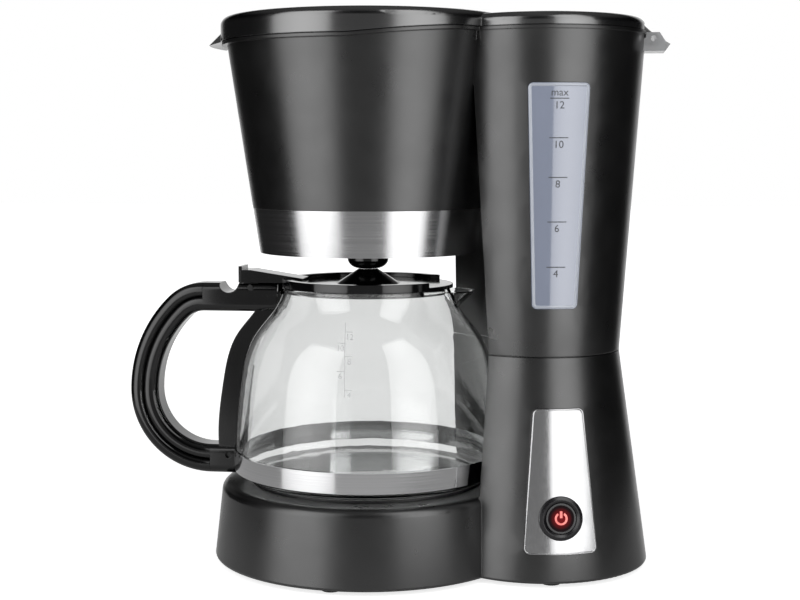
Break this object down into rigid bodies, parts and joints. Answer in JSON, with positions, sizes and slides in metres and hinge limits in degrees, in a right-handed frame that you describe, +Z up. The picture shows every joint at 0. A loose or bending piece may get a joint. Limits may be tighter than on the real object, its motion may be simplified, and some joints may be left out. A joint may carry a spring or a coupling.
{
  "type": "drip coffee maker",
  "caption": "Drip coffee maker with a water tower, a filter head over a glass jug, a hinged two-lobed lid and a round power switch on a steel plate.",
  "frame": {"origin": "centre of the bounding box's base, on the plane of the feet", "axes": "+X towards the water tower and lid hinge, -X along the jug's handle, -Y the front, +Z up"},
  "size_m": [0.3028, 0.1744, 0.3028],
  "materials": {
    "housing": "satin black moulding",
    "lid": "gloss black",
    "handle": "gloss black",
    "steel": "brushed round the part",
    "fastener": "plain steel",
    "glass": "clear",
    "gauge": "frosted translucent",
    "tank": "smoke translucent",
    "inner_plastic": "satin black",
    "lens": "clear red",
    "switch_case": "dull",
    "rubber": "matte",
    "silicone": "milky",
    "plate": "dark non-stick coating",
    "heater": "cast",
    "fuse": "plain"
  },
  "bodies": {
    "machine": {"lower_housing": "housing", "bottom_cover": "housing", "rubber_feet": "rubber", "cover_screws": "fastener", "housing_screws": "fastener", "upper_housing": "housing", "filter_head": "housing", "steel_band": "steel", "gauge_window": "gauge", "control_plate": "steel", "water_tank": "tank", "check_valve": "silicone", "riser_tube": "tank", "lid_hinge_pin": "fastener", "filter_basket": "inner_plastic", "drip_valve_spring": "fastener", "warming_plate": "plate", "plate_seal": "silicone", "heating_element": "heater", "element_clamp": "heater", "clamp_screws": "fastener", "thermostat": "switch_case", "thermal_fuse": "fuse", "cold_hose": "silicone", "hot_hose": "silicone", "hose_clips": "fastener", "switch_bezel": "inner_plastic", "switch_body": "switch_case", "cord_gland": "rubber"},
    "lid": {"top_lid": "lid", "spreader_tray": "inner_plastic"},
    "button": {"switch_button": "inner_plastic", "switch_lens": "lens", "switch_spring": "fastener"},
    "valve": {"drip_valve": "inner_plastic", "drip_valve_seal": "silicone"},
    "jug": {"carafe_glass": "glass", "carafe_strap": "steel", "strap_screw": "fastener", "carafe_handle": "handle", "handle_grip": "handle", "carafe_lid": "lid", "carafe_lid_pin": "fastener"}
  },
  "joints": [
    {"name": "lid_hinge", "type": "hinge", "parent": "machine", "child": "lid", "pos_m": [0.14245, 0, 0.2902], "axis": [0, 1, 0], "range_deg": [0, 95]},
    {"name": "button_press", "type": "slide", "parent": "machine", "child": "button", "axis": [-0.2378, 0.9608, -0.1426], "range_m": [0, 0.0025], "stiffness_N_per_m": 400, "springref_m": -0.002},
    {"name": "jug_slide", "type": "slide", "parent": "machine", "child": "jug", "axis": [-1, 0, 0], "range_m": [0, 0.19]},
    {"name": "valve_drop", "type": "slide", "parent": "machine", "child": "valve", "axis": [0, 0, 1], "range_m": [-0.003, 0], "deforming": ["drip_valve_spring"]}
  ],
  "couplings": [
    {"joint": "valve_drop", "follows": "jug_slide", "ratio": -0.015}
  ]
}
